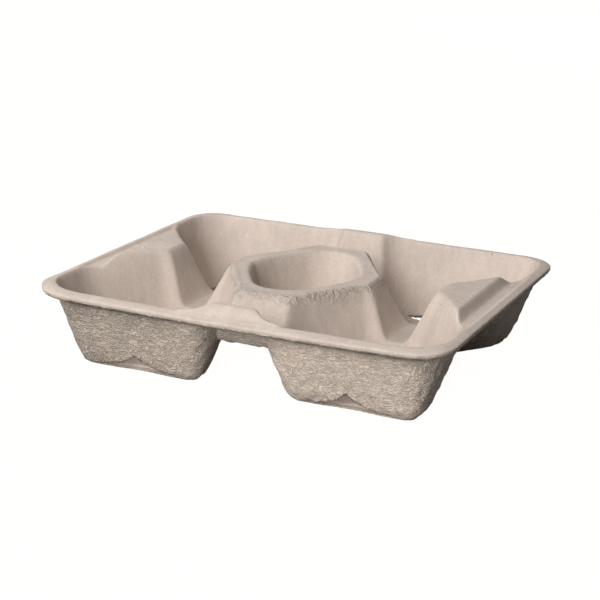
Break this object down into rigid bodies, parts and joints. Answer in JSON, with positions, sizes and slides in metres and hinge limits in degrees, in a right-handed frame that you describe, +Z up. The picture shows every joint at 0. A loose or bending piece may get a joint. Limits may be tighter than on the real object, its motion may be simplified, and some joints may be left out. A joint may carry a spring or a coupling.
{
  "type": "moulded pulp cup carrier",
  "caption": "Shallow moulded paper pulp tray with drafted cup pockets round a raised centre collar and a turned-down rim, for carrying drinks.",
  "frame": {"origin": "centre of the tray on the plane that its feet stand on", "axes": "+X along the long side of the rim, +Y along the short side, +Z up out of the pockets"},
  "size_m": [0.22, 0.19, 0.0471],
  "materials": {
    "pulp": "matt, felted fibre, smooth above and rough below"
  },
  "bodies": {
    "root": {"carrier_tray": "pulp"}
  },
  "joints": []
}
